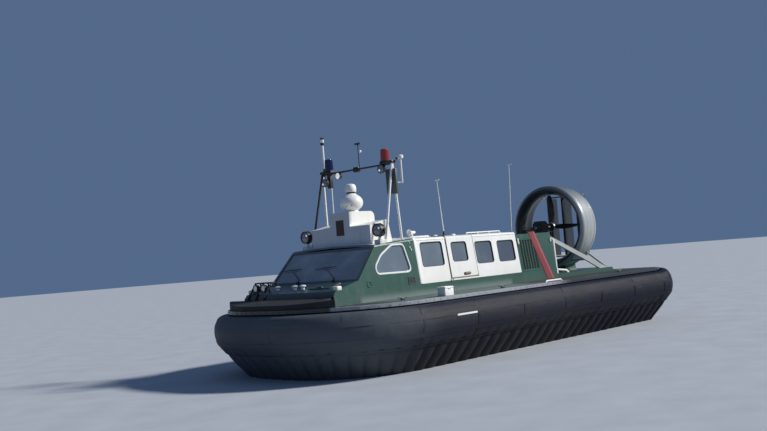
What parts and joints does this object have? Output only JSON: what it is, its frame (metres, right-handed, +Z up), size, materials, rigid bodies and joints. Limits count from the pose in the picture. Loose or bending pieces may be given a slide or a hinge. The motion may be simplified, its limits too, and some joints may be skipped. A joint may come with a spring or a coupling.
{
  "type": "hovercraft",
  "caption": "Ducted-propeller passenger hovercraft: decked raft on an inflated bag-and-finger skirt, cabin with gull-wing doors, lamp mast, engine housing, lift fan and rudders.",
  "frame": {"origin": "on the ground under the middle of the skirt's outline", "axes": "+X towards the bow, +Y to port, +Z up"},
  "size_m": [12.1, 5.5, 4.89],
  "materials": {
    "rubber": "coated skirt cloth, semi-matt, wet sheen",
    "deck_black": "anti-slip matt paint on aluminium",
    "strake_grey": "weathered light grey edge strip",
    "green_paint": "satin green paint, slightly weathered",
    "white_paint": "satin off-white paint",
    "tinted_glass": "grey-blue tinted glazing",
    "interior": "dark grey textured trim",
    "seat_fabric": "dark woven upholstery",
    "black_parts": "semi-gloss black",
    "grey_paint": "satin light grey paint",
    "bare_alloy": "bare cast aluminium",
    "red_lens": "translucent red-orange lens",
    "blue_lens": "translucent dark blue lens"
  },
  "bodies": {
    "root": {"hull_raft": "deck_black", "deck_strake": "strake_grey", "landing_skid_port": "rubber", "landing_skid_starboard": "rubber", "skirt_bow": "rubber", "skirt_port": "rubber", "skirt_stern": "rubber", "skirt_starboard": "rubber", "coaming": "green_paint", "cabin_wall_port": "white_paint", "cabin_wall_starboard": "white_paint", "cabin_roof": "white_paint", "cabin_bulkhead": "white_paint", "cab_side_port": "green_paint", "cab_side_starboard": "green_paint", "cab_roof": "white_paint", "windscreen": "tinted_glass", "cab_pane_port": "tinted_glass", "cab_pane_starboard": "tinted_glass", "helm_console": "interior", "crew_seats": "seat_fabric", "bench_port": "seat_fabric", "bench_starboard": "seat_fabric", "roof_fairing": "white_paint", "mast": "white_paint", "beacon_port": "red_lens", "beacon_starboard": "blue_lens", "whip_mid": "white_paint", "whip_aft": "white_paint", "engine_housing": "green_paint", "engine_block": "black_parts", "aft_plinth": "green_paint", "drive_pylon": "black_parts", "duct": "grey_paint", "duct_stay_port": "grey_paint", "duct_stay_starboard": "grey_paint", "aft_rail_port": "white_paint", "aft_rail_starboard": "white_paint", "deck_box_port": "white_paint", "deck_box_starboard": "white_paint", "bow_rail": "black_parts", "searchlight_stand_port": "white_paint", "searchlight_stand_starboard": "white_paint", "bow_apron": "deck_black"},
    "propeller": {"propeller": "black_parts"},
    "lift_fan": {"lift_fan": "bare_alloy"},
    "rudder_port": {"rudder_port": "grey_paint"},
    "rudder_centre": {"rudder_centre": "grey_paint"},
    "rudder_starboard": {"rudder_starboard": "grey_paint"},
    "door_port": {"door_port": "white_paint", "door_pane_port": "tinted_glass"},
    "door_starboard": {"door_starboard": "white_paint", "door_pane_starboard": "tinted_glass"},
    "engine_hatch": {"engine_hatch": "green_paint"},
    "camera_turret": {"camera_turret": "white_paint"},
    "searchlight_port": {"searchlight_port": "black_parts"},
    "searchlight_starboard": {"searchlight_starboard": "black_parts"}
  },
  "joints": [
    {"name": "propeller_spin", "type": "hinge", "parent": "root", "child": "propeller", "pos_m": [-4.25, 0, 2.593], "axis": [1, 0, 0], "continuous": true},
    {"name": "lift_fan_spin", "type": "hinge", "parent": "root", "child": "lift_fan", "pos_m": [-1.06, 0, 1.8], "axis": [1, 0, 0], "continuous": true},
    {"name": "rudder_centre_steer", "type": "hinge", "parent": "root", "child": "rudder_centre", "pos_m": [-4.89, 0, 2.593], "axis": [0, 0, 1], "range_deg": [-30, 30]},
    {"name": "rudder_port_steer", "type": "hinge", "parent": "root", "child": "rudder_port", "pos_m": [-4.89, 0.45, 2.593], "axis": [0, 0, 1], "range_deg": [-30, 30]},
    {"name": "rudder_starboard_steer", "type": "hinge", "parent": "root", "child": "rudder_starboard", "pos_m": [-4.89, -0.45, 2.593], "axis": [0, 0, 1], "range_deg": [-30, 30]},
    {"name": "door_port_swing", "type": "hinge", "parent": "root", "child": "door_port", "pos_m": [1.205, 0.85, 2.536], "axis": [1, 0, 0], "range_deg": [0, 75]},
    {"name": "door_starboard_swing", "type": "hinge", "parent": "root", "child": "door_starboard", "pos_m": [1.205, -0.85, 2.536], "axis": [-1, 0, 0], "range_deg": [0, 75]},
    {"name": "engine_hatch_swing", "type": "hinge", "parent": "root", "child": "engine_hatch", "pos_m": [-1.38, 0, 2.456], "axis": [0, 1, 0], "range_deg": [0, 65]},
    {"name": "turret_pan", "type": "hinge", "parent": "root", "child": "camera_turret", "pos_m": [3.15, 0, 3.3], "axis": [0, 0, 1], "range_deg": [-170, 170]},
    {"name": "searchlight_port_pan", "type": "hinge", "parent": "root", "child": "searchlight_port", "pos_m": [3.49, 1.085, 2.712], "axis": [0, 0, 1], "range_deg": [-120, 120]},
    {"name": "searchlight_starboard_pan", "type": "hinge", "parent": "root", "child": "searchlight_starboard", "pos_m": [3.49, -1.085, 2.712], "axis": [0, 0, 1], "range_deg": [-120, 120]}
  ],
  "couplings": [
    {"joint": "rudder_port_steer", "follows": "rudder_centre_steer", "ratio": 1},
    {"joint": "rudder_starboard_steer", "follows": "rudder_centre_steer", "ratio": 1}
  ]
}
